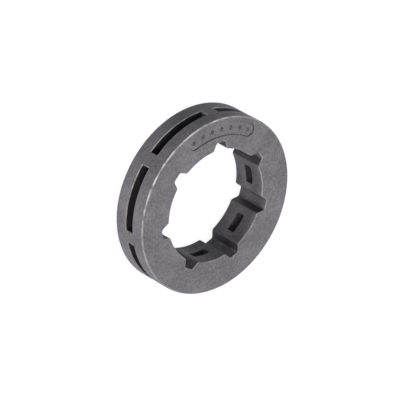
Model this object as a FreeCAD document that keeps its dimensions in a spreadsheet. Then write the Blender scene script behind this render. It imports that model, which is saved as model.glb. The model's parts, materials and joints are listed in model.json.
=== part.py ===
import FreeCAD, Part
import Sketcher
import math
import os

# A rim sprocket for a chain saw: one piece of sintered steel, lying on its back face, axis along +Z.
# Chain pockets open through the rim, and each one narrows to a window in the bore.
# Spline notches in the bore, one under each bar between two pockets, slide on the clutch drum's hub.

NODE = "rim_sprocket"
FIT = 1e-4

# Driving sizes, in millimetres and degrees.
SIZES = [
    ("spline_count", 7, "pockets round the rim, and notches in the bore"),
    ("rim_diameter", 35.0, "outside diameter, on which the chain's side links run"),
    ("rim_width", 7.5, "width from face to face"),
    ("rim_edge_chamfer", 0.3, "bevel on the two outer edges"),
    ("bore_diameter", 22.3, "bore across the lands"),
    ("bore_edge_chamfer", 0.2, "bevel round both mouths of the bore"),
    ("notch_diameter", 25.4, "circle that the floors of the notches touch"),
    ("notch_floor_width", 1.85, "width of a notch's floor, before its corners are rounded"),
    ("notch_flank_angle", 23.0, "slope of a notch's flank from the notch's centre line"),
    ("notch_floor_radius", 0.45, "rounding in the corners of a notch's floor"),
    ("notch_mouth_radius", 0.55, "rounding where a flank meets the land"),
    ("flank_share", 0.45, "largest part of a flank that one of its two roundings takes"),
    ("slot_width", 1.8, "width of the chain slot along the axis"),
    ("slot_edge_chamfer", 0.2, "bevel round the slot's mouth in the rim"),
    ("bar_width", 2.8, "chord of the bar between two slots, at the rim"),
    ("pocket_wall_angle", 14.0, "slope of a pocket's end wall from the pocket's centre line"),
    ("pocket_wall_depth", 2.4, "depth of the end wall below its edge in the rim"),
    ("pocket_corner_radius", 0.9, "rounding between the end wall and the sloping floor"),
    ("window_length", 3.8, "length of the window in the bore"),
    ("window_wall", 1.2, "depth of the window's straight throat, outwards from the bore"),
    ("window_corner_radius", 0.4, "rounding in the four corners of the window's throat"),
    ("cut_spare", 1.0, "how far a cut runs on past the surface that it opens"),
]

# Largest rounding that a notch's flank has room for at each end.
FLANK_LENGTH = "((Sizes.notch_diameter - Sizes.bore_diameter) / 2 / cos(Sizes.notch_flank_angle * 1 deg))"
FLANK_ROOM = f"({FLANK_LENGTH} * Sizes.flank_share / tan((90 - Sizes.notch_flank_angle) * 0.5 deg))"

# Where the end wall of a pocket meets the rim, seen from the pocket's centre line.
MOUTH_ANGLE = "(180 deg / Sizes.spline_count - asin(Sizes.bar_width / Sizes.rim_diameter))"
MOUTH_X = f"(Sizes.rim_diameter / 2 * sin({MOUTH_ANGLE}))"
MOUTH_Y = f"(Sizes.rim_diameter / 2 * cos({MOUTH_ANGLE}))"
WALL_SLOPE = "tan(Sizes.pocket_wall_angle * 1 deg)"
PAST_RIM = "(Sizes.rim_diameter / 2 + Sizes.cut_spare)"
INSIDE_BORE = "(Sizes.bore_diameter / 2 - Sizes.cut_spare)"


def make_sheet(doc):
    """Spreadsheet with one named cell for each driving size."""
    sheet = doc.addObject("Spreadsheet::Sheet", "Sizes")
    for row, (alias, value, note) in enumerate(SIZES, start=1):
        sheet.set(f"A{row}", alias)
        sheet.set(f"B{row}", str(value))
        sheet.set(f"C{row}", note)
        sheet.setAlias(f"B{row}", alias)
    doc.recompute()
    return sheet


def origin_part(body, role):
    """Origin plane or axis of a body, found by its role."""
    return next(item for item in body.Origin.OriginFeatures if item.Role == role)


def new_sketch(body, name, role):
    """Empty sketch on one of the body's own origin planes."""
    sketch = body.newObject("Sketcher::SketchObject", name)
    sketch.AttachmentSupport = [(origin_part(body, role), "")]
    sketch.MapMode = "FlatFace"
    return sketch


def number(sheet, expression):
    """Plain value of an expression over the sheet's cells."""
    value = sheet.evalExpression(expression)
    return value.Value if hasattr(value, "Value") else float(value)


def close_outline(sketch, corners):
    """Straight lines through the corners in turn, joined end to end."""
    count = len(corners)
    for place, corner in enumerate(corners):
        sketch.addGeometry(Part.LineSegment(corner, corners[(place + 1) % count]))
    for line in range(count):
        sketch.addConstraint(Sketcher.Constraint("Coincident", line, 2, (line + 1) % count, 1))


def bind_corner(sketch, line, across, up):
    """Ties the first end of a line to two distances from the sketch's origin."""
    point = sketch.getPoint(line, 1)
    for kind, value, expression in (("DistanceX", point.x, across), ("DistanceY", point.y, up)):
        index = sketch.addConstraint(Sketcher.Constraint(kind, -1, 1, line, 1, value))
        sketch.setExpression(f"Constraints[{index}]", expression)


def mirrored_outline(sketch, sheet, half):
    """Closed outline, symmetric about the sketch's upright axis, from the corners of its right half."""
    right = []
    for across, up in half:
        right.append(FreeCAD.Vector(number(sheet, across), number(sheet, up), 0))
    left = [FreeCAD.Vector(-corner.x, corner.y, 0) for corner in reversed(right)]
    close_outline(sketch, right + left)
    last = 2 * len(half) - 1
    for line, (across, up) in enumerate(half):
        sketch.addConstraint(Sketcher.Constraint("Symmetric", line, 1, last - line, 1, -2))
        bind_corner(sketch, line, across, up)


def edge_names(feature, wanted):
    """Names of the feature's edges that pass a test."""
    return [f"Edge{place}" for place, edge in enumerate(feature.Shape.Edges, start=1) if wanted(edge)]


def from_axis(point):
    """Distance of a point from the part's axis."""
    return math.hypot(point.x, point.y)


def is_upright(edge, length, radius):
    """True for a straight edge along the axis, of one length and at one distance from the axis."""
    if not isinstance(edge.Curve, Part.Line) or abs(edge.Length - length) > FIT:
        return False
    ends = [vertex.Point for vertex in edge.Vertexes]
    along_axis = abs(abs(ends[0].z - ends[1].z) - length) < FIT
    return along_axis and abs(from_axis(ends[0]) - radius) < FIT


def dress_edges(doc, body, kind, name, base, edges, prop, expression):
    """Fillet or chamfer on edges of the base feature, with its size bound to the sheet."""
    if not edges:
        raise RuntimeError(f"{name} found no edges")
    feature = body.newObject(f"PartDesign::{kind}", name)
    feature.Base = (base, edges)
    feature.setExpression(prop, expression)
    body.Tip = feature
    doc.recompute()
    return feature


def spread(doc, body, name, cut):
    """Repeats one cut round the axis, once for each spline."""
    pattern = body.newObject("PartDesign::PolarPattern", name)
    pattern.Originals = [cut]
    pattern.Axis = (origin_part(body, "Z_Axis"), [""])
    pattern.Angle = 360
    pattern.setExpression("Occurrences", "Sizes.spline_count")
    body.Tip = pattern
    doc.recompute()
    return pattern


def removed(before, after):
    """Stops the build when a cut takes nothing away."""
    if after.Shape.Volume >= before.Shape.Volume - FIT:
        raise RuntimeError(f"{after.Name} removed nothing")


def make_ring(doc, body, sheet):
    """Plain ring with its two outer edges bevelled."""
    section = new_sketch(body, "RingSection", "XZ_Plane")
    bore = number(sheet, "Sizes.bore_diameter") / 2
    rim = number(sheet, "Sizes.rim_diameter") / 2
    width = number(sheet, "Sizes.rim_width")
    corners = [(bore, 0), (rim, 0), (rim, width), (bore, width)]
    close_outline(section, [FreeCAD.Vector(across, up, 0) for across, up in corners])
    for line, kind in enumerate(("Horizontal", "Vertical", "Horizontal", "Vertical")):
        section.addConstraint(Sketcher.Constraint(kind, line))
    section.addConstraint(Sketcher.Constraint("PointOnObject", 0, 1, -1))
    inner = section.addConstraint(Sketcher.Constraint("DistanceX", -1, 1, 0, 1, bore))
    outer = section.addConstraint(Sketcher.Constraint("DistanceX", -1, 1, 0, 2, rim))
    height = section.addConstraint(Sketcher.Constraint("DistanceY", 1, 1, 1, 2, width))
    section.setExpression(f"Constraints[{inner}]", "Sizes.bore_diameter / 2")
    section.setExpression(f"Constraints[{outer}]", "Sizes.rim_diameter / 2")
    section.setExpression(f"Constraints[{height}]", "Sizes.rim_width")

    ring = body.newObject("PartDesign::Revolution", "Ring")
    ring.Profile = section
    ring.ReferenceAxis = (section, ["V_Axis"])
    ring.Angle = 360
    doc.recompute()

    def on_rim(edge):
        return isinstance(edge.Curve, Part.Circle) and abs(edge.Curve.Radius - rim) < FIT

    return dress_edges(doc, body, "Chamfer", "RimEdges", ring, edge_names(ring, on_rim),
                       "Size", "Sizes.rim_edge_chamfer")


def cut_notches(doc, body, sheet, ring):
    """Spline notches along the bore, with rounded floors and mouths and a bevel at both faces."""
    outline = new_sketch(body, "NotchOutline", "XY_Plane")
    floor_x = "(Sizes.notch_floor_width / 2)"
    floor_y = "(Sizes.notch_diameter / 2)"
    flank = f"({floor_y} - {INSIDE_BORE}) * tan(Sizes.notch_flank_angle * 1 deg)"
    mirrored_outline(outline, sheet, [(floor_x, floor_y), (f"{floor_x} + {flank}", INSIDE_BORE)])

    notch = body.newObject("PartDesign::Pocket", "Notch")
    notch.Profile = outline
    notch.Type = "Length"
    notch.Reversed = True
    notch.setExpression("Length", "Sizes.rim_width")
    doc.recompute()
    removed(ring, notch)
    notches = spread(doc, body, "Notches", notch)

    width = number(sheet, "Sizes.rim_width")
    floor_corner = math.hypot(number(sheet, floor_x), number(sheet, floor_y))
    corners = edge_names(notches, lambda edge: is_upright(edge, width, floor_corner))
    floors = dress_edges(doc, body, "Fillet", "NotchFloors", notches, corners,
                         "Radius", f"min(Sizes.notch_floor_radius; {FLANK_ROOM})")

    land = number(sheet, "Sizes.bore_diameter") / 2

    def on_mouth(edge):
        between_faces = len(floors.Shape.ancestorsOfType(edge, Part.Face)) > 1
        return between_faces and is_upright(edge, width, land)

    mouths = dress_edges(doc, body, "Fillet", "NotchMouths", floors, edge_names(floors, on_mouth),
                         "Radius", f"min(Sizes.notch_mouth_radius; {FLANK_ROOM})")

    def round_bore(edge):
        box = edge.BoundBox
        on_face = abs(box.ZMax) < FIT or abs(box.ZMin - width) < FIT
        return on_face and max(from_axis(vertex.Point) for vertex in edge.Vertexes) < floor_corner + FIT

    return dress_edges(doc, body, "Chamfer", "BoreEdges", mouths, edge_names(mouths, round_bore),
                       "Size", "Sizes.bore_edge_chamfer")


def cut_pockets(doc, body, sheet, ring):
    """Chain pockets: steep end walls at the rim, sloping floors, and a straight throat into the bore."""
    outline = new_sketch(body, "PocketOutline", "XY_Plane")
    half_turn = FreeCAD.Rotation(FreeCAD.Vector(0, 0, 1), 180)
    outline.AttachmentOffset = FreeCAD.Placement(FreeCAD.Vector(0, 0, 0), half_turn)
    outline.setExpression("AttachmentOffset.Base.z", "Sizes.rim_width / 2")
    outline.setExpression("AttachmentOffset.Rotation.Angle", "180 deg / Sizes.spline_count")
    past_rim = (f"{MOUTH_X} + ({PAST_RIM} - {MOUTH_Y}) * {WALL_SLOPE}", PAST_RIM)
    wall_foot = (f"{MOUTH_X} - Sizes.pocket_wall_depth * {WALL_SLOPE}", f"{MOUTH_Y} - Sizes.pocket_wall_depth")
    throat_top = ("Sizes.window_length / 2", "Sizes.bore_diameter / 2 + Sizes.window_wall")
    throat_foot = ("Sizes.window_length / 2", INSIDE_BORE)
    mirrored_outline(outline, sheet, [past_rim, wall_foot, throat_top, throat_foot])

    pocket = body.newObject("PartDesign::Pocket", "ChainPocket")
    pocket.Profile = outline
    pocket.Type = "Length"
    pocket.SideType = "Symmetric"
    pocket.setExpression("Length", "Sizes.slot_width")
    doc.recompute()
    removed(ring, pocket)
    pockets = spread(doc, body, "ChainPockets", pocket)

    slot = number(sheet, "Sizes.slot_width")
    foot = math.hypot(number(sheet, wall_foot[0]), number(sheet, wall_foot[1]))
    corners = edge_names(pockets, lambda edge: is_upright(edge, slot, foot))
    rounded = dress_edges(doc, body, "Fillet", "PocketCorners", pockets, corners,
                          "Radius", "Sizes.pocket_corner_radius")

    rim = number(sheet, "Sizes.rim_diameter") / 2
    land = number(sheet, "Sizes.bore_diameter") / 2
    middle = number(sheet, "Sizes.rim_width") / 2

    def on_slot_wall(edge):
        box = edge.BoundBox
        return box.ZLength < FIT and abs(abs(box.Center.z - middle) - slot / 2) < FIT

    def in_throat(edge):
        if not on_slot_wall(edge) or not isinstance(edge.Curve, Part.Line):
            return False
        inner, outer = sorted(from_axis(vertex.Point) for vertex in edge.Vertexes)
        return abs(inner - land) < FIT and outer > land + FIT

    windows = dress_edges(doc, body, "Fillet", "WindowCorners", rounded, edge_names(rounded, in_throat),
                          "Radius", "Sizes.window_corner_radius")

    def on_rail(edge):
        on_rim = isinstance(edge.Curve, Part.Circle) and abs(edge.Curve.Radius - rim) < FIT
        return on_rim and on_slot_wall(edge)

    rails = dress_edges(doc, body, "Chamfer", "SlotRails", windows, edge_names(windows, on_rail),
                        "Size", "Sizes.slot_edge_chamfer")
    mouth = slot / 2 + number(sheet, "Sizes.slot_edge_chamfer")

    def on_end(edge):
        inside_slot = abs(edge.BoundBox.Center.z - middle) < mouth
        return inside_slot and edge.Length < 2 * mouth and is_upright(edge, edge.Length, rim)

    return dress_edges(doc, body, "Chamfer", "SlotEnds", rails, edge_names(rails, on_end),
                       "Size", "Sizes.slot_edge_chamfer")


def check(doc, body):
    """Stops the build when a feature failed or the part isn't one sound solid."""
    for item in doc.Objects:
        if "Invalid" in item.State or "Error" in item.State:
            raise RuntimeError(f"{item.Name} failed: {item.State}")
    shape = body.Shape
    if shape.isNull() or not shape.isValid() or len(shape.Solids) != 1:
        raise RuntimeError("the sprocket is not one sound solid")


def main():
    doc = FreeCAD.newDocument("RimSprocket")
    sheet = make_sheet(doc)
    body = doc.addObject("PartDesign::Body", "RimSprocket")
    body.Label = NODE
    doc.recompute()
    ring = make_ring(doc, body, sheet)
    splined = cut_notches(doc, body, sheet, ring)
    cut_pockets(doc, body, sheet, splined)
    doc.recompute()
    check(doc, body)
    os.makedirs("parts", exist_ok=True)
    body.Shape.exportStep(f"parts/{body.Label}.step")
    box = body.Shape.optimalBoundingBox()
    print(f"{body.Label}: {box.XLength:.2f} x {box.YLength:.2f} x {box.ZLength:.2f} mm, "
          f"{body.Shape.Volume:.0f} mm3, {len(body.Shape.Faces)} faces")


main()
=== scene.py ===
"""Looks of a chain saw's rim sprocket: a splined ring of sintered steel in a white studio."""

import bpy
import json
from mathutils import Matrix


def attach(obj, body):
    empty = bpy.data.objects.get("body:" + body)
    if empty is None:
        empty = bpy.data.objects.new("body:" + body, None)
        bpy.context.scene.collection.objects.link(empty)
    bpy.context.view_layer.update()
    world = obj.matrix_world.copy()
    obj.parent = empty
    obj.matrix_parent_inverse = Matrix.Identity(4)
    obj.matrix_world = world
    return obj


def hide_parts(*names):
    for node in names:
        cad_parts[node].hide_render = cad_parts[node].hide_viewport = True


bl_info = {
    "name": "Rim Sprocket",
    "version": (1, 0, 0),
    "blender": (4, 5, 0),
    "location": "View3D > Sidebar > Sprocket",
    "description": "Models a splined drive ring with chain pockets, its sintered steel and a white studio",
    "category": "Object",
}

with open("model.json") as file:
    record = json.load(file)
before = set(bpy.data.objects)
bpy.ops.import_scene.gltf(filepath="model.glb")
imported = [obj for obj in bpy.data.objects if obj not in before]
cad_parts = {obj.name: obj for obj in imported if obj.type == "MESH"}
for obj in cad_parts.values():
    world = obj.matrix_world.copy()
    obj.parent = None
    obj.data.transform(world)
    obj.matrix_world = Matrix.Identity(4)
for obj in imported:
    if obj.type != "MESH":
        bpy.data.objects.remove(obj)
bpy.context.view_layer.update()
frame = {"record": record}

import json
from math import asin, atan2, cos, hypot, pi, radians, sin, sqrt, tan

import bmesh
import bpy
from bpy.props import FloatProperty, FloatVectorProperty, IntProperty, PointerProperty
from bpy.types import Operator, Panel, PropertyGroup
from mathutils import Matrix, Vector

NODE = "rim_sprocket"
BODY = "root"
MOUNTS = {mount["name"]: mount["dims"] for mount in frame["record"]["mounts"]}

MM = 0.001
AXIS = Vector((0, 0, 1))
CENTRE = Vector((0, 0, 0))

# The ring is modelled in millimetres. Corners nearer than FIT are one corner, and a corner nearer than SAG
# to the bore's circle lies on the land.
FIT = 0.001
SAG = 0.01
SHARP_CORNER = radians(45)
SMOOTH_UP_TO = radians(35)
NEARLY_FLAT = cos(radians(30))

# Steps of the roundings and of the panel's arcs, and the share of the panel's depth that rounds its foot.
ROUND_STEPS = 5
CORNER_STEPS = 4
EDGE_STEPS = 4
PANEL_SWEEP_STEPS = 24
PANEL_END_STEPS = 12
PANEL_FOOT_STEPS = 3
PANEL_FOOT = 0.7
DOT_STEPS = 4

# Bright bare steel on the crest of each rounding, part wear and part painted highlight, and its share on the
# facets beside the crest.
EDGE_WEAR_AND_HIGHLIGHT = {"rim": 1.0, "bore": 0.85, "slot": 0.85, "window": 0.0}
SHOULDER_WEAR_AND_HIGHLIGHT = 0.25

# The bright edges are brightest on one side of the ring, from one distance out to another along that side.
BRIGHT_SIDE = (cos(radians(228)), sin(radians(228)), 0)
BRIGHT_FROM = 10 * MM
BRIGHT_TO = 15.5 * MM
BRIGHT_LEAST = 0.4

# Shares of painted shade: in the pockets, on the notches' flanks and in the sunk panel. In a pocket it
# starts a margin away from the rim and the bore, in millimetres, and thins out towards the bore between two
# distances from the axis, so that the throat is painted lighter.
POCKET_SHADE = 0.8
NOTCH_SHADE = 1.5
PANEL_SHADE = 0.7
THROAT_SHADE = 0.65
SHADE_MARGIN = 0.15
THIN_SHADE = 13 * MM
FULL_SHADE = 15.5 * MM
LEAST_PATCH = 0.7

# Ranges of the noises that the steel's tone, pores, chips, the painted shade's patches and roughness are
# read from.
GRAIN_TONES = (0.32, 0.68)
GRAIN_HEIGHTS = (0.25, 0.75)
CLOUD_TONES = (0.3, 0.7)
CLOUD_PATCHES = (0.25, 0.6)
PORE_WALLS = (0.08, 0.22)
CHIP_GAPS = (0.3, 0.55)

# Shares of grain and clouds in the tone, of metal in the skin, on bare edges and where shade is painted, and
# of the relief.
GRAIN_SHARE = 0.6
CLOUD_LEAST = 0.02
CLOUD_MOST = 0.38
SKIN_METAL = 0.03
BARE_METAL = 0.35
SHADE_METAL = 0.8
BARE_ROUGHENING = 0.1
PORE_RELIEF = 0.5
RELIEF_STRENGTH = 0.6

FRAME_PIXELS = 400
FLOOR_SIZE = 2.0
FLOOR_GAP = 0.01 * MM
LAMP_DISTANCE = 0.5

# Each lamp's azimuth and elevation as seen from the ring, then its width and height.
LAMPS = {
    "overhead": (radians(110), radians(82), 0.15, 0.15),
    "side": (radians(-55), radians(40), 0.15, 0.15),
    "low": (radians(-73), radians(2.5), 0.3, 0.04),
    "far": (radians(115), radians(32), 0.25, 0.25),
}


class SprocketSizes(PropertyGroup):
    """Sizes of the ring, its spline notches and its chain pockets."""

    count: IntProperty(
        name="Pockets", description="Chain pockets round the rim, and notches in the bore",
        default=MOUNTS["chain_track"]["count"], min=3)
    rim_radius: FloatProperty(
        name="Rim Radius", description="Radius that the chain's side links run on",
        default=MOUNTS["chain_track"]["r_mm"] * MM, unit="LENGTH")
    rim_width: FloatProperty(
        name="Rim Width", description="Width from face to face",
        default=MOUNTS["chain_track"]["length_mm"] * MM, unit="LENGTH")
    rim_edge: FloatProperty(
        name="Rim Edge", description="Rounding of the two outer edges",
        default=0.3 * MM, unit="LENGTH")
    bore_radius: FloatProperty(
        name="Bore Radius", description="Radius of the lands in the bore",
        default=MOUNTS["splined_bore"]["r_mm"] * MM, unit="LENGTH")
    bore_edge: FloatProperty(
        name="Bore Edge", description="Rounding round both mouths of the bore",
        default=0.2 * MM, unit="LENGTH")
    notch_radius: FloatProperty(
        name="Notch Radius", description="Distance of a notch's floor from the axis",
        default=12.7 * MM, unit="LENGTH")
    notch_floor: FloatProperty(
        name="Notch Floor", description="Width of a notch's floor",
        default=1.85 * MM, unit="LENGTH")
    notch_flank: FloatProperty(
        name="Notch Flank", description="Slope of a notch's flank from the notch's centre line",
        default=radians(23), unit="ROTATION", subtype="ANGLE")
    notch_floor_round: FloatProperty(
        name="Notch Floor Round", description="Rounding in the corners of a notch's floor",
        default=0.45 * MM, unit="LENGTH")
    notch_mouth_round: FloatProperty(
        name="Notch Mouth Round", description="Rounding where a flank meets the land",
        default=0.55 * MM, unit="LENGTH")
    slot_width: FloatProperty(
        name="Slot Width", description="Width of the chain slot along the axis",
        default=1.8 * MM, unit="LENGTH")
    slot_edge: FloatProperty(
        name="Slot Edge", description="Rounding round the slot's mouth",
        default=0.2 * MM, unit="LENGTH")
    bar_width: FloatProperty(
        name="Bar Width", description="Chord of the bar between two slots, at the rim",
        default=2.8 * MM, unit="LENGTH")
    pocket_slope: FloatProperty(
        name="Pocket Slope", description="Slope of a pocket's end wall from the pocket's centre line",
        default=radians(14), unit="ROTATION", subtype="ANGLE")
    pocket_depth: FloatProperty(
        name="Pocket Depth", description="Depth of the end wall below the rim",
        default=2.4 * MM, unit="LENGTH")
    pocket_round: FloatProperty(
        name="Pocket Round", description="Rounding between the end wall and the sloping floor",
        default=0.9 * MM, unit="LENGTH")
    window_length: FloatProperty(
        name="Window Length", description="Length of the window in the bore",
        default=3.8 * MM, unit="LENGTH")
    window_wall: FloatProperty(
        name="Window Wall", description="Depth of the window's straight throat",
        default=1.2 * MM, unit="LENGTH")
    window_round: FloatProperty(
        name="Window Round", description="Rounding in the four corners of the window's throat",
        default=0.4 * MM, unit="LENGTH")
    window_edge: FloatProperty(
        name="Window Edge", description="Rounding round the window's mouth in the bore",
        default=0.08 * MM, unit="LENGTH")
    panel_place: IntProperty(
        name="Panel Place", description="Notch that the sunk panel stands over, counted from +Y", default=2)
    panel_radius: FloatProperty(
        name="Panel Radius", description="Distance of the sunk panel's middle line from the axis",
        default=15.2 * MM, unit="LENGTH")
    panel_width: FloatProperty(
        name="Panel Width", description="Width of the sunk panel",
        default=2.7 * MM, unit="LENGTH")
    panel_sweep: FloatProperty(
        name="Panel Sweep", description="Angle that the sunk panel runs through, without its round ends",
        default=radians(50), unit="ROTATION", subtype="ANGLE")
    panel_depth: FloatProperty(
        name="Panel Depth", description="Depth of the sunk panel in the front face",
        default=0.25 * MM, unit="LENGTH")
    dot_radius: FloatProperty(
        name="Dot Radius", description="Radius of a count dot in the panel, one dot for each pocket",
        default=0.42 * MM, unit="LENGTH")
    dot_depth: FloatProperty(
        name="Dot Depth", description="Depth of a count dot below the panel",
        default=0.2 * MM, unit="LENGTH")


class SteelFinish(PropertyGroup):
    """Colours, grain, wear, painted shade and painted highlight of the sintered steel."""

    skin_dark: FloatVectorProperty(
        name="Dark Skin", description="Darker tone of the oxide skin", subtype="COLOR",
        default=(0.122, 0.117, 0.126), min=0, max=1)
    skin_light: FloatVectorProperty(
        name="Light Skin", description="Lighter tone of the oxide skin", subtype="COLOR",
        default=(0.288, 0.279, 0.295), min=0, max=1)
    pore: FloatVectorProperty(
        name="Pores", description="Colour inside the pores", subtype="COLOR",
        default=(0.12, 0.117, 0.122), min=0, max=1)
    # Colour of the painted shade in the pockets, the panel and the notches' flanks.
    soot: FloatVectorProperty(
        name="Soot", description="Colour of the black oxide in the pockets, the panel and the notches",
        subtype="COLOR", default=(0.024, 0.022, 0.0265), min=0, max=1)
    bare: FloatVectorProperty(
        name="Bare Steel", description="Colour of bright steel on the edges", subtype="COLOR",
        default=(0.64, 0.635, 0.63), min=0, max=1)
    grain: FloatProperty(
        name="Grain", description="Grains in a metre", default=2600, min=1)
    mottling: FloatProperty(
        name="Mottling", description="Cloudy patches in a metre", default=200, min=1)
    pores: FloatProperty(
        name="Pore Spacing", description="Pores in a metre", default=2600, min=1)
    chips: FloatProperty(
        name="Chips", description="Breaks in the bright edge in a metre", default=620, min=1)
    relief: FloatProperty(
        name="Relief", description="Height of the grain", default=0.012 * MM, unit="LENGTH")
    rough_low: FloatProperty(
        name="Smoothest", description="Roughness on the crowns of the grain", default=0.48,
        min=0, max=1, subtype="FACTOR")
    rough_high: FloatProperty(
        name="Roughest", description="Roughness between the grains", default=0.66,
        min=0, max=1, subtype="FACTOR")
    gloss: FloatProperty(
        name="Gloss", description="Specular level of the skin", default=0.05, min=0, max=1, subtype="FACTOR")


class StudioStage(PropertyGroup):
    """Camera, light and floor."""

    azimuth: FloatProperty(
        name="Azimuth", description="Turn of the camera round the axis", default=radians(-21.28),
        unit="ROTATION", subtype="ANGLE")
    elevation: FloatProperty(
        name="Elevation", description="Height of the camera above the horizon", default=radians(42.54),
        unit="ROTATION", subtype="ANGLE")
    roll: FloatProperty(
        name="Roll", description="Turn of the camera about its own view", default=radians(119.25),
        unit="ROTATION", subtype="ANGLE")
    distance: FloatProperty(
        name="Distance", description="From the camera to the front face", default=607.2 * MM, unit="LENGTH")
    lens: FloatProperty(
        name="Lens", description="Focal length in millimetres", default=298.9, subtype="DISTANCE_CAMERA")
    centre_x: FloatProperty(
        name="Centre Across", description="Where the front face's centre stands in the frame, in pixels",
        default=216.27, subtype="PIXEL")
    centre_y: FloatProperty(
        name="Centre Down", description="Where the front face's centre stands in the frame, in pixels",
        default=205.89, subtype="PIXEL")
    overhead_power: FloatProperty(
        name="Overhead Power", description="Power of the softbox above the ring",
        default=1.25, unit="POWER")
    side_power: FloatProperty(
        name="Side Power", description="Power of the softbox beside the camera",
        default=0.86, unit="POWER")
    low_power: FloatProperty(
        name="Low Power", description="Power of the strip below the side softbox",
        default=1.05, unit="POWER")
    far_power: FloatProperty(
        name="Far Power", description="Power of the softbox behind the ring",
        default=0.75, unit="POWER")
    ambient: FloatProperty(
        name="Ambient", description="Light from all round", default=0.02, min=0)
    floor_colour: FloatVectorProperty(
        name="Floor", description="Colour that the floor throws back", subtype="COLOR",
        default=(0.6, 0.6, 0.625), min=0, max=1)
    floor_glow: FloatProperty(
        name="Floor White", description="White of the floor that no shadow darkens", default=0.9,
        min=0, max=1, subtype="FACTOR")


class RingPlan:
    """Half a sector in millimetres, from the middle of a notch on +Y to the middle of a pocket."""

    LAND_STEPS = 2
    WINDOW_STEPS = 3
    BAR_STEPS = 3
    SLOT_STEPS = 12

    def __init__(self, sizes):
        self.half_sector = pi / sizes.count
        self.rim = sizes.rim_radius / MM
        self.bore = sizes.bore_radius / MM
        self.width = sizes.rim_width / MM
        self.middle = self.width / 2
        self.slot = sizes.slot_width / MM
        self.along = Vector((sin(self.half_sector), cos(self.half_sector), 0))
        self.across = Vector((-cos(self.half_sector), sin(self.half_sector), 0))

        notch = sizes.notch_radius / MM
        self.notch_middle = Vector((0, notch, 0))
        self.notch_corner = Vector((sizes.notch_floor / 2 / MM, notch, 0))
        flank = Vector((sin(sizes.notch_flank), -cos(sizes.notch_flank), 0))
        reach = self.notch_corner.dot(flank)
        spare = self.notch_corner.length_squared - self.bore ** 2
        self.notch_mouth = self.notch_corner - flank * (reach + sqrt(reach ** 2 - spare))

        self.bar_angle = asin(sizes.bar_width / MM / 2 / self.rim)
        self.slot_angle = self.half_sector - self.bar_angle
        mouth_across = self.rim * sin(self.slot_angle)
        mouth_along = self.rim * cos(self.slot_angle)
        depth = sizes.pocket_depth / MM
        self.rim_middle = Vector((0, self.rim, 0))
        self.wall_foot = self.in_pocket(mouth_across - depth * tan(sizes.pocket_slope), mouth_along - depth)
        half_window = sizes.window_length / MM / 2
        self.throat_top = self.in_pocket(half_window, self.bore + sizes.window_wall / MM)
        self.window_angle = asin(half_window / self.bore)
        self.throat_foot = self.in_pocket(half_window, sqrt(self.bore ** 2 - half_window ** 2))

    def in_pocket(self, across, along):
        """Point at a distance to the notch's side of the pocket's centre line, and out along that line."""
        return self.across * across + self.along * along

    def into_half_sector(self, place):
        """Same place in the half sector that the plan draws."""
        turn = atan2(place.x, place.y) + self.half_sector
        turn = abs(turn % (2 * self.half_sector) - self.half_sector)
        return Vector((sin(turn), cos(turn))) * from_axis(place)


def from_axis(place):
    """Distance of a place from the bore's axis."""
    return hypot(place.x, place.y)


def everything(bm):
    """All the parts of a mesh."""
    return bm.verts[:] + bm.edges[:] + bm.faces[:]


def corners_of(made):
    """Vertices among the parts that an operator has made."""
    return [item for item in made if isinstance(item, bmesh.types.BMVert)]


def line_to(bm, start, place):
    """Extrudes a vertex into a straight edge."""
    end = bmesh.ops.extrude_vert_indiv(bm, verts=[start])["verts"][0]
    end.co = place
    return end


def arc_to(bm, start, angle, steps, centre=CENTRE):
    """Spins a vertex round an upright axis, clockwise for a positive angle."""
    made = bmesh.ops.spin(bm, geom=[start], cent=centre, axis=AXIS, angle=-angle, steps=steps)
    return corners_of(made["geom_last"])[0]


def draw_half_sector(bm, plan):
    """Two flat faces: the bar beside a notch, and the pocket next to it."""
    start = bm.verts.new(plan.rim_middle)
    mouth = arc_to(bm, start, plan.bar_angle, plan.BAR_STEPS)
    foot = line_to(bm, mouth, plan.wall_foot)
    throat = line_to(bm, foot, plan.throat_top)
    window = line_to(bm, throat, plan.throat_foot)
    dividing = [mouth, foot, throat, window]
    land = plan.half_sector - plan.window_angle - atan2(plan.notch_mouth.x, plan.notch_mouth.y)
    notch = arc_to(bm, window, -land, plan.LAND_STEPS)
    corner = line_to(bm, notch, plan.notch_corner)
    middle = line_to(bm, corner, plan.notch_middle)
    bm.edges.new((middle, start))
    bar = bmesh.ops.contextual_create(bm, geom=bm.edges[:])["faces"][0]

    known = bm.edges[:]
    outside = arc_to(bm, mouth, plan.slot_angle, plan.SLOT_STEPS)
    inside = line_to(bm, outside, plan.along * plan.bore)
    last = arc_to(bm, inside, -plan.window_angle, plan.WINDOW_STEPS)
    bmesh.ops.pointmerge(bm, verts=[last, window], merge_co=plan.throat_foot)
    loop = [edge for edge in bm.edges if edge not in known]
    loop += [edge for edge in known if edge.is_valid and all(vert in dividing for vert in edge.verts)]
    pocket = bmesh.ops.contextual_create(bm, geom=loop)["faces"][0]
    return bar, pocket


def raise_faces(bm, faces, height):
    """Extrudes faces straight up and returns the raised ones."""
    made = bmesh.ops.extrude_face_region(bm, geom=faces)["geom"]
    bmesh.ops.translate(bm, verts=corners_of(made), vec=AXIS * height)
    return [item for item in made if isinstance(item, bmesh.types.BMFace)]


def drop_faces_in_plane(bm, normal):
    """Deletes the faces in a plane through the centre, where the next copy joins on."""
    flat = [face for face in bm.faces if all(abs(vert.co.dot(normal)) < FIT for vert in face.verts)]
    bmesh.ops.delete(bm, geom=flat, context="FACES")


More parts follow.
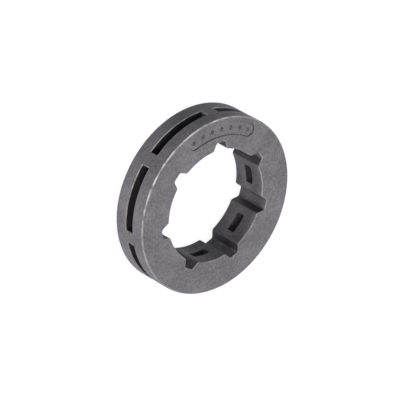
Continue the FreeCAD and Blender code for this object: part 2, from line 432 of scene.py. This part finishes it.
def build_ring(bm, plan):
    """Whole ring from half a sector of its back half."""
    bar, pocket = draw_half_sector(bm, plan)
    rail = (plan.width - plan.slot) / 2
    raised = raise_faces(bm, [bar, pocket], rail)
    centre = plan.along * plan.rim
    bar_top = max(raised, key=lambda face: (face.calc_center_median() - centre).length)
    raise_faces(bm, [bar_top], plan.slot / 2)
    bmesh.ops.delete(bm, geom=[bar_top], context="FACES_ONLY")
    bmesh.ops.translate(bm, verts=bm.verts[:], vec=-AXIS * plan.middle)
    for normal in (AXIS, Vector((1, 0, 0)), plan.across):
        drop_faces_in_plane(bm, normal)
    for axis in ("Z", "X"):
        bmesh.ops.mirror(bm, geom=everything(bm), matrix=Matrix.Identity(4), merge_dist=FIT, axis=axis)
    sector = 2 * plan.half_sector
    others = round(2 * pi / sector) - 1
    bmesh.ops.spin(bm, geom=everything(bm), cent=CENTRE, axis=AXIS, angle=sector * others, steps=others,
                   use_duplicate=True)
    bmesh.ops.remove_doubles(bm, verts=bm.verts[:], dist=FIT)
    bmesh.ops.recalc_face_normals(bm, faces=bm.faces[:])
    bmesh.ops.translate(bm, verts=bm.verts[:], vec=AXIS * plan.middle)


def uprights_at(bm, plan, place):
    """Edges along the axis at a place in the plan, in every half sector."""
    found = []
    for edge in bm.edges:
        start, end = (vert.co for vert in edge.verts)
        upright = (start.xy - end.xy).length < FIT
        if upright and (plan.into_half_sector(start) - place.xy).length < FIT:
            found.append(edge)
    return found


def throat_corners(bm, plan):
    """Level edges in the corners of the windows' throats."""
    found = []
    for edge in bm.edges:
        inner, outer = sorted(from_axis(vert.co) for vert in edge.verts)
        level = all(abs(abs(vert.co.z - plan.middle) - plan.slot / 2) < FIT for vert in edge.verts)
        if level and abs(inner - plan.bore) < FIT and abs(outer - plan.throat_top.length) < FIT:
            found.append(edge)
    return found


def round_edges(bm, edges, radius, segments):
    """Rounds like edges to a radius and returns the new faces."""
    turn = edges[0].calc_face_angle()
    made = bmesh.ops.bevel(bm, geom=edges, offset=radius * tan(turn / 2), offset_type="OFFSET",
                           affect="EDGES", segments=segments, profile=0.5, material=-1)
    return made["faces"]


def sharp_edges(bm, plan, place):
    """Edges to round at one place: the rim, the bore's mouths, the slots or the windows."""
    found = []
    for edge in bm.edges:
        if edge.calc_face_angle(0) < SHARP_CORNER:
            continue
        ends = [vert.co for vert in edge.verts]
        on_face = all(min(abs(end.z), abs(end.z - plan.width)) < FIT for end in ends)
        on_rim = all(abs(from_axis(end) - plan.rim) < FIT for end in ends)
        on_land = all(abs(from_axis(end) - plan.bore) < SAG for end in ends)
        at = {"rim": on_face and on_rim, "bore": on_face and not on_rim,
              "slot": on_rim and not on_face, "window": on_land and not on_face}
        if at[place]:
            found.append(edge)
    return found


def finish_edges(bm, plan, sizes):
    """Roundings in the notches and the pockets, then along the faces, the slots and the windows."""
    wear = bm.faces.layers.float.new("edge_wear")
    uprights = ((plan.notch_corner, sizes.notch_floor_round), (plan.notch_mouth, sizes.notch_mouth_round),
                (plan.wall_foot, sizes.pocket_round))
    for place, radius in uprights:
        round_edges(bm, uprights_at(bm, plan, place), radius / MM, ROUND_STEPS)
    round_edges(bm, throat_corners(bm, plan), sizes.window_round / MM, CORNER_STEPS)
    # Bright edge mark, part wear and part painted highlight: full on a rounding's crest, less beside it.
    for place, amount in EDGE_WEAR_AND_HIGHLIGHT.items():
        radius = getattr(sizes, f"{place}_edge") / MM
        for face in round_edges(bm, sharp_edges(bm, plan, place), radius, EDGE_STEPS):
            flat = max(abs(face.normal.z), hypot(face.normal.x, face.normal.y))
            face[wear] = amount if flat < NEARLY_FLAT else amount * SHOULDER_WEAR_AND_HIGHLIGHT


def paint_shade(bm, plan):
    """Painted shade in the pockets and on the flanks of the notches, most where a flank stands steepest."""
    soot = bm.faces.layers.float.new("soot")
    for face in bm.faces:
        centre = face.calc_center_median()
        place = plan.into_half_sector(centre)
        between = all(abs(vert.co.z - plan.middle) < plan.slot / 2 + FIT for vert in face.verts)
        if place.x < plan.notch_mouth.x and place.length < plan.notch_corner.length:
            # Painted shade on a notch's flank, by how far its face turns sideways.
            sideways = AXIS.cross(centre).normalized()
            face[soot] = NOTCH_SHADE * face.normal.dot(sideways) ** 2
        # Painted shade in the pockets' hollows, a margin away from the rim and the bore.
        elif between and plan.bore + SHADE_MARGIN < place.length < plan.rim - SHADE_MARGIN:
            face[soot] = POCKET_SHADE


def close_end(bm, outer, inner, turn):
    """Half a disc on the end of the panel's bar."""
    last = arc_to(bm, outer, turn, PANEL_END_STEPS, (outer.co + inner.co) / 2)
    bmesh.ops.pointmerge(bm, verts=[last, inner], merge_co=inner.co)
    arc = [edge for edge in bm.edges if not edge.link_faces]
    on_arc = {vert for edge in arc for vert in edge.verts}
    bar = [edge for edge in bm.edges if edge.link_faces and on_arc.issuperset(edge.verts)]
    bmesh.ops.contextual_create(bm, geom=arc + bar)


def shape_panel_cutter(bm, plan, sizes):
    """Bent bar with round ends and a rounded lower edge, standing in the front face over a notch."""
    half = sizes.panel_width / MM / 2
    middle = sizes.panel_radius / MM
    depth = sizes.panel_depth / MM
    floor = plan.width - depth
    inner = bm.verts.new((0, middle - half, floor))
    outer = bm.verts.new((0, middle + half, floor))
    edge = bm.edges.new((inner, outer))
    made = bmesh.ops.spin(bm, geom=[inner, outer, edge], cent=CENTRE, axis=AXIS, angle=sizes.panel_sweep,
                          steps=PANEL_SWEEP_STEPS)
    last_inner, last_outer = sorted(corners_of(made["geom_last"]), key=lambda vert: from_axis(vert.co))
    close_end(bm, outer, inner, pi)
    close_end(bm, last_outer, last_inner, -pi)
    raise_faces(bm, bm.faces[:], plan.middle)
    bmesh.ops.recalc_face_normals(bm, faces=bm.faces[:])
    foot = [edge for edge in bm.edges if edge.calc_face_angle(0) > SHARP_CORNER
            and all(abs(vert.co.z - floor) < FIT for vert in edge.verts)]
    bmesh.ops.bevel(bm, geom=foot, offset=depth * PANEL_FOOT, offset_type="OFFSET", affect="EDGES",
                    segments=PANEL_FOOT_STEPS, profile=0.5, material=-1)
    # Painted shade on the panel's walls and rounded foot, none on its floor.
    soot = bm.faces.layers.float.new("soot")
    for face in bm.faces:
        face[soot] = 0.0 if abs(face.normal.z) > NEARLY_FLAT else PANEL_SHADE
    turn = 2 * plan.half_sector * sizes.panel_place - sizes.panel_sweep / 2
    bmesh.ops.rotate(bm, verts=bm.verts[:], cent=CENTRE, matrix=Matrix.Rotation(turn, 3, "Z"))


def shape_dot_cutters(bm, plan, sizes):
    """Balls that press a row of count dots into the panel's floor, one for each pocket."""
    depth = sizes.dot_depth / MM
    ball = (depth ** 2 + (sizes.dot_radius / MM) ** 2) / 2 / depth
    height = plan.width - sizes.panel_depth / MM - depth + ball
    middle = 2 * plan.half_sector * sizes.panel_place
    for place in range(sizes.count):
        turn = middle + sizes.panel_sweep * (place / (sizes.count - 1) - 0.5)
        spot = Matrix.Rotation(turn, 4, "Z") @ Matrix.Translation((0, sizes.panel_radius / MM, height))
        bmesh.ops.create_icosphere(bm, subdivisions=DOT_STEPS, radius=ball, matrix=spot)
    # Painted shade in every count dot.
    soot = bm.faces.layers.float.new("soot")
    for face in bm.faces:
        face[soot] = PANEL_SHADE


def cut_away(context, piece, shape, plan, sizes):
    """Takes a cutter's shape out of a piece."""
    bm = bmesh.new()
    shape(bm, plan, sizes)
    mesh = bpy.data.meshes.new("cutter")
    bm.to_mesh(mesh)
    bm.free()
    cutter = bpy.data.objects.new("cutter", mesh)
    context.scene.collection.objects.link(cutter)
    cut = piece.modifiers.new("Cut", "BOOLEAN")
    cut.operation = "DIFFERENCE"
    cut.solver = "EXACT"
    cut.object = cutter
    whole = piece.data
    piece.data = bpy.data.meshes.new_from_object(piece.evaluated_get(context.evaluated_depsgraph_get()))
    piece.modifiers.remove(cut)
    bpy.data.objects.remove(cutter)
    bpy.data.meshes.remove(mesh)
    if len(piece.data.polygons) <= len(whole.polygons):
        raise RuntimeError(f"{shape.__name__} cut nothing")
    bpy.data.meshes.remove(whole)


def weld(mesh):
    """Merges the corners that the cuts leave almost on each other."""
    bm = bmesh.new()
    bm.from_mesh(mesh)
    bmesh.ops.remove_doubles(bm, verts=bm.verts[:], dist=FIT)
    bmesh.ops.dissolve_degenerate(bm, edges=bm.edges[:], dist=FIT)
    bm.to_mesh(mesh)
    bm.free()


class NodeBench:
    """Adds nodes to a tree and joins them."""

    # A mix node has sockets of every kind, so those for colours are found by number.
    FIRST_COLOUR = 6
    SECOND_COLOUR = 7
    MIXED_COLOUR = 2

    def __init__(self, tree):
        self.tree = tree

    def join(self, source, target):
        """Links an output to an input."""
        self.tree.links.new(source, target)

    def add(self, kind, settings=None, values=None, links=None):
        """New node with its settings, its sockets' values and the sockets that feed it."""
        node = self.tree.nodes.new(kind)
        for name, value in (settings or {}).items():
            setattr(node, name, value)
        for name, value in (values or {}).items():
            node.inputs[name].default_value = value
        for name, source in (links or {}).items():
            self.join(source, node.inputs[name])
        return node

    def attribute(self, name):
        """Number that the mesh carries on each face."""
        return self.add("ShaderNodeAttribute", settings={"attribute_name": name}).outputs["Fac"]

    def noise(self, place, scale, detail, roughness):
        """Cloudy noise from 0 to 1."""
        node = self.add("ShaderNodeTexNoise",
                        values={"Scale": scale, "Detail": detail, "Roughness": roughness},
                        links={"Vector": place})
        return node.outputs["Fac"]

    def spread(self, value, low, high, to_low=0.0, to_high=1.0):
        """Stretches a range of values over another."""
        node = self.add("ShaderNodeMapRange",
                        values={"From Min": low, "From Max": high, "To Min": to_low, "To Max": to_high},
                        links={"Value": value})
        return node.outputs["Result"]

    def math(self, operation, *terms):
        """Sum on sockets and plain numbers."""
        node = self.add("ShaderNodeMath", settings={"operation": operation})
        for socket, term in zip(node.inputs, terms):
            if isinstance(term, bpy.types.NodeSocket):
                self.join(term, socket)
            else:
                socket.default_value = term
        return node.outputs["Value"]

    def blend(self, amount, first, second):
        """Mixes two colours."""
        node = self.add("ShaderNodeMix", settings={"data_type": "RGBA"}, links={"Factor": amount})
        for socket, colour in ((self.FIRST_COLOUR, first), (self.SECOND_COLOUR, second)):
            if isinstance(colour, bpy.types.NodeSocket):
                self.join(colour, node.inputs[socket])
            else:
                node.inputs[socket].default_value = (*colour, 1)
        return node.outputs[self.MIXED_COLOUR]


def worn_and_highlit_edges(bench, place, finish):
    """Share of bright bare steel on the edges, part wear and part painted highlight, most on one side of the
    ring and broken by chips.
    """
    edge = bench.attribute("edge_wear")
    chips = bench.noise(place, finish.chips, detail=5, roughness=0.6)
    side = bench.add("ShaderNodeVectorMath", settings={"operation": "DOT_PRODUCT"}, values={1: BRIGHT_SIDE},
                     links={0: place})
    # Brighter edges on one side of the ring.
    sided = bench.spread(side.outputs["Value"], BRIGHT_FROM, BRIGHT_TO, BRIGHT_LEAST, 1)
    return bench.math("MULTIPLY", bench.math("MULTIPLY", edge, sided), bench.spread(chips, *CHIP_GAPS))


def painted_shade_share(bench, place, clouds):
    """Share of painted shade, thinner towards the bore so that the throat is painted lighter, and patchy
    like the clouds in the skin.
    """
    laid = bench.attribute("soot")
    flat = bench.add("ShaderNodeVectorMath", settings={"operation": "MULTIPLY"}, values={1: (1, 1, 0)},
                     links={0: place})
    reach = bench.add("ShaderNodeVectorMath", settings={"operation": "LENGTH"},
                      links={0: flat.outputs["Vector"]})
    # Painted light: the shade thins towards the bore, so the window's throat is lighter.
    thinning = bench.spread(reach.outputs["Value"], THIN_SHADE, FULL_SHADE, THROAT_SHADE, 1)
    patches = bench.spread(clouds, *CLOUD_PATCHES, LEAST_PATCH, 1)
    return bench.math("MULTIPLY", bench.math("MULTIPLY", laid, thinning), patches)


def sintered_steel(finish):
    """Dark satin oxide skin with pressed grain, fine pores, cloudy tone, painted shade in the hollows and
    bright edges that are part wear, part painted highlight.
    """
    material = bpy.data.materials.new("sintered_steel")
    material.use_nodes = True
    bench = NodeBench(material.node_tree)
    shader = material.node_tree.nodes["Principled BSDF"]
    place = bench.add("ShaderNodeTexCoord").outputs["Object"]
    grain = bench.noise(place, finish.grain, detail=3, roughness=0.6)
    clouds = bench.noise(place, finish.mottling, detail=2, roughness=0.5)
    cells = bench.add("ShaderNodeTexVoronoi", values={"Scale": finish.pores}, links={"Vector": place})
    solid = bench.spread(cells.outputs["Distance"], *PORE_WALLS)
    bright_edge_share = worn_and_highlit_edges(bench, place, finish)
    shade_share = painted_shade_share(bench, place, clouds)

    tone = bench.math("MULTIPLY_ADD", bench.spread(grain, *GRAIN_TONES), GRAIN_SHARE,
                      bench.spread(clouds, *CLOUD_TONES, CLOUD_LEAST, CLOUD_MOST))
    skin = bench.blend(tone, finish.skin_dark, finish.skin_light)
    pitted = bench.blend(solid, finish.pore, skin)
    # Painted shade darkens the skin in the pockets, on the notches' flanks and in the panel.
    over_painted_shade = bench.blend(shade_share, pitted, finish.soot)
    # Bright edges: bare steel, part wear and part painted highlight.
    bench.join(bench.blend(bright_edge_share, over_painted_shade, finish.bare), shader.inputs["Base Color"])
    metal = bench.math("MULTIPLY_ADD", shade_share, SHADE_METAL, bench.spread(bright_edge_share, 0, 1, SKIN_METAL, BARE_METAL))
    bench.join(metal, shader.inputs["Metallic"])

    roughness = bench.spread(grain, *GRAIN_HEIGHTS, finish.rough_high, finish.rough_low)
    bench.join(bench.math("MULTIPLY_ADD", bright_edge_share, BARE_ROUGHENING, roughness), shader.inputs["Roughness"])
    shader.inputs["Specular IOR Level"].default_value = finish.gloss

    height = bench.math("MULTIPLY_ADD", solid, PORE_RELIEF, grain)
    relief = bench.add("ShaderNodeBump", values={"Strength": RELIEF_STRENGTH, "Distance": finish.relief},
                       links={"Height": height})
    bench.join(relief.outputs["Normal"], shader.inputs["Normal"])
    return material


class SPROCKET_OT_ring(Operator):
    """Models the ring and gives it its steel"""

    bl_idname = "sprocket.ring"
    bl_label = "Build Ring"

    def execute(self, context):
        sizes = context.scene.sprocket_sizes
        plan = RingPlan(sizes)
        bm = bmesh.new()
        build_ring(bm, plan)
        finish_edges(bm, plan, sizes)
        paint_shade(bm, plan)
        mesh = bpy.data.meshes.new("sprocket_ring")
        bm.to_mesh(mesh)
        bm.free()
        ring = bpy.data.objects.new("sprocket_ring", mesh)
        context.scene.collection.objects.link(ring)
        for shape in (shape_panel_cutter, shape_dot_cutters):
            cut_away(context, ring, shape, plan, sizes)
        weld(ring.data)
        ring.data.transform(Matrix.Scale(MM, 4))
        ring.data.shade_smooth()
        ring.data.set_sharp_from_angle(angle=SMOOTH_UP_TO)
        weighted = ring.modifiers.new("Even Normals", "WEIGHTED_NORMAL")
        weighted.keep_sharp = True
        ring.data.materials.append(sintered_steel(context.scene.sprocket_finish))
        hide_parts(NODE)
        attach(ring, BODY)
        return {"FINISHED"}


def place_camera(scene, stage, sizes):
    """Camera turned, tilted and rolled to the view, with the front face's centre at its place in it."""
    data = bpy.data.cameras.new("studio_camera")
    data.lens = stage.lens
    camera = bpy.data.objects.new("studio_camera", data)
    scene.collection.objects.link(camera)
    turn = Matrix.Rotation(stage.azimuth, 3, "Z") @ Matrix.Rotation(pi / 2 - stage.elevation, 3, "X")
    turn = turn @ Matrix.Rotation(stage.roll, 3, "Z")
    right, up, back = turn.col
    pixel = data.sensor_width / data.lens * stage.distance / FRAME_PIXELS
    face = AXIS * sizes.rim_width
    place = face + back * stage.distance
    place -= right * (stage.centre_x - FRAME_PIXELS / 2) * pixel
    place += up * (stage.centre_y - FRAME_PIXELS / 2) * pixel
    camera.matrix_world = Matrix.Translation(place) @ turn.to_4x4()
    scene.camera = camera


def seen_directly(bench):
    """1 for the rays that show the background: from the camera, in a gloss or through glass."""
    ray = bench.add("ShaderNodeLightPath").outputs
    either = bench.math("MAXIMUM", ray["Is Camera Ray"], ray["Is Glossy Ray"])
    return bench.math("MAXIMUM", either, ray["Is Transmission Ray"])


def lay_floor(scene, stage):
    """Plain white floor that keeps a faint shadow."""
    mesh = bpy.data.meshes.new("floor")
    bm = bmesh.new()
    bmesh.ops.create_grid(bm, x_segments=1, y_segments=1, size=FLOOR_SIZE)
    bmesh.ops.translate(bm, verts=bm.verts[:], vec=-AXIS * FLOOR_GAP)
    bm.to_mesh(mesh)
    bm.free()
    floor = bpy.data.objects.new("floor", mesh)
    scene.collection.objects.link(floor)

    material = bpy.data.materials.new("studio_white")
    material.use_nodes = True
    nodes = material.node_tree.nodes
    nodes.remove(nodes["Principled BSDF"])
    bench = NodeBench(material.node_tree)
    plain = bench.add("ShaderNodeBsdfDiffuse", values={"Color": (*stage.floor_colour, 1)})
    glow = bench.add("ShaderNodeEmission", values={"Strength": stage.floor_glow})
    # The lamps bring the rest of the white, twice over, so that only a shadow takes it below white.
    rest = 2 - 2 * stage.floor_glow
    shaded = bench.add("ShaderNodeBsdfDiffuse", values={"Color": (rest, rest, rest, 1)})
    white = bench.add("ShaderNodeAddShader", links={0: glow.outputs[0], 1: shaded.outputs[0]})
    either = bench.add("ShaderNodeMixShader",
                       links={"Fac": seen_directly(bench), 1: plain.outputs[0], 2: white.outputs[0]})
    bench.join(either.outputs[0], nodes["Material Output"].inputs["Surface"])
    mesh.materials.append(material)


def light_world(scene, stage):
    """White all round for what shows it, with a weaker light on the object."""
    world = bpy.data.worlds.new("studio")
    scene.world = world
    world.use_nodes = True
    bench = NodeBench(world.node_tree)
    background = world.node_tree.nodes["Background"]
    background.inputs["Color"].default_value = (1, 1, 1, 1)
    bench.join(bench.spread(seen_directly(bench), 0, 1, stage.ambient, 1), background.inputs["Strength"])


def hang_softbox(scene, name, power):
    """Lamp that faces the ring, placed by its direction from it."""
    azimuth, elevation, width, height = LAMPS[name]
    data = bpy.data.lights.new(name, "AREA")
    data.shape = "RECTANGLE"
    data.size = width
    data.size_y = height
    data.energy = power
    lamp = bpy.data.objects.new(name, data)
    scene.collection.objects.link(lamp)
    way = Matrix.Rotation(azimuth, 3, "Z") @ Matrix.Rotation(-elevation, 3, "Y") @ Vector((1, 0, 0))
    lamp.location = way * LAMP_DISTANCE
    lamp.rotation_euler = way.to_track_quat("Z", "Y").to_euler()


class SPROCKET_OT_stage(Operator):
    """Sets up the floor, the light and the camera"""

    bl_idname = "sprocket.stage"
    bl_label = "Build Stage"

    def execute(self, context):
        scene = context.scene
        stage = scene.sprocket_stage
        scene.view_settings.view_transform = "Standard"
        place_camera(scene, stage, scene.sprocket_sizes)
        lay_floor(scene, stage)
        light_world(scene, stage)
        for name in LAMPS:
            hang_softbox(scene, name, getattr(stage, f"{name}_power"))
        return {"FINISHED"}


class SPROCKET_PT_panel(Panel):
    """Settings and steps of the rim sprocket"""

    bl_idname = "SPROCKET_PT_panel"
    bl_label = "Rim Sprocket"
    bl_space_type = "VIEW_3D"
    bl_region_type = "UI"
    bl_category = "Sprocket"

    def draw(self, context):
        layout = self.layout
        groups = (context.scene.sprocket_sizes, context.scene.sprocket_finish, context.scene.sprocket_stage)
        for group in groups:
            box = layout.box()
            for name in group.__annotations__:
                box.prop(group, name)
        layout.operator(SPROCKET_OT_ring.bl_idname)
        layout.operator(SPROCKET_OT_stage.bl_idname)


CLASSES = (SprocketSizes, SteelFinish, StudioStage, SPROCKET_OT_ring, SPROCKET_OT_stage, SPROCKET_PT_panel)


def register():
    """Adds the classes and their settings to the scene."""
    for item in CLASSES:
        bpy.utils.register_class(item)
    bpy.types.Scene.sprocket_sizes = PointerProperty(type=SprocketSizes)
    bpy.types.Scene.sprocket_finish = PointerProperty(type=SteelFinish)
    bpy.types.Scene.sprocket_stage = PointerProperty(type=StudioStage)


def unregister():
    """Takes the settings and the classes away again."""
    del bpy.types.Scene.sprocket_stage
    del bpy.types.Scene.sprocket_finish
    del bpy.types.Scene.sprocket_sizes
    for item in reversed(CLASSES):
        bpy.utils.unregister_class(item)


def main():
    """Builds the ring and the stage."""
    register()
    bpy.ops.sprocket.ring()
    bpy.ops.sprocket.stage()


if __name__ == "__main__":
    main()
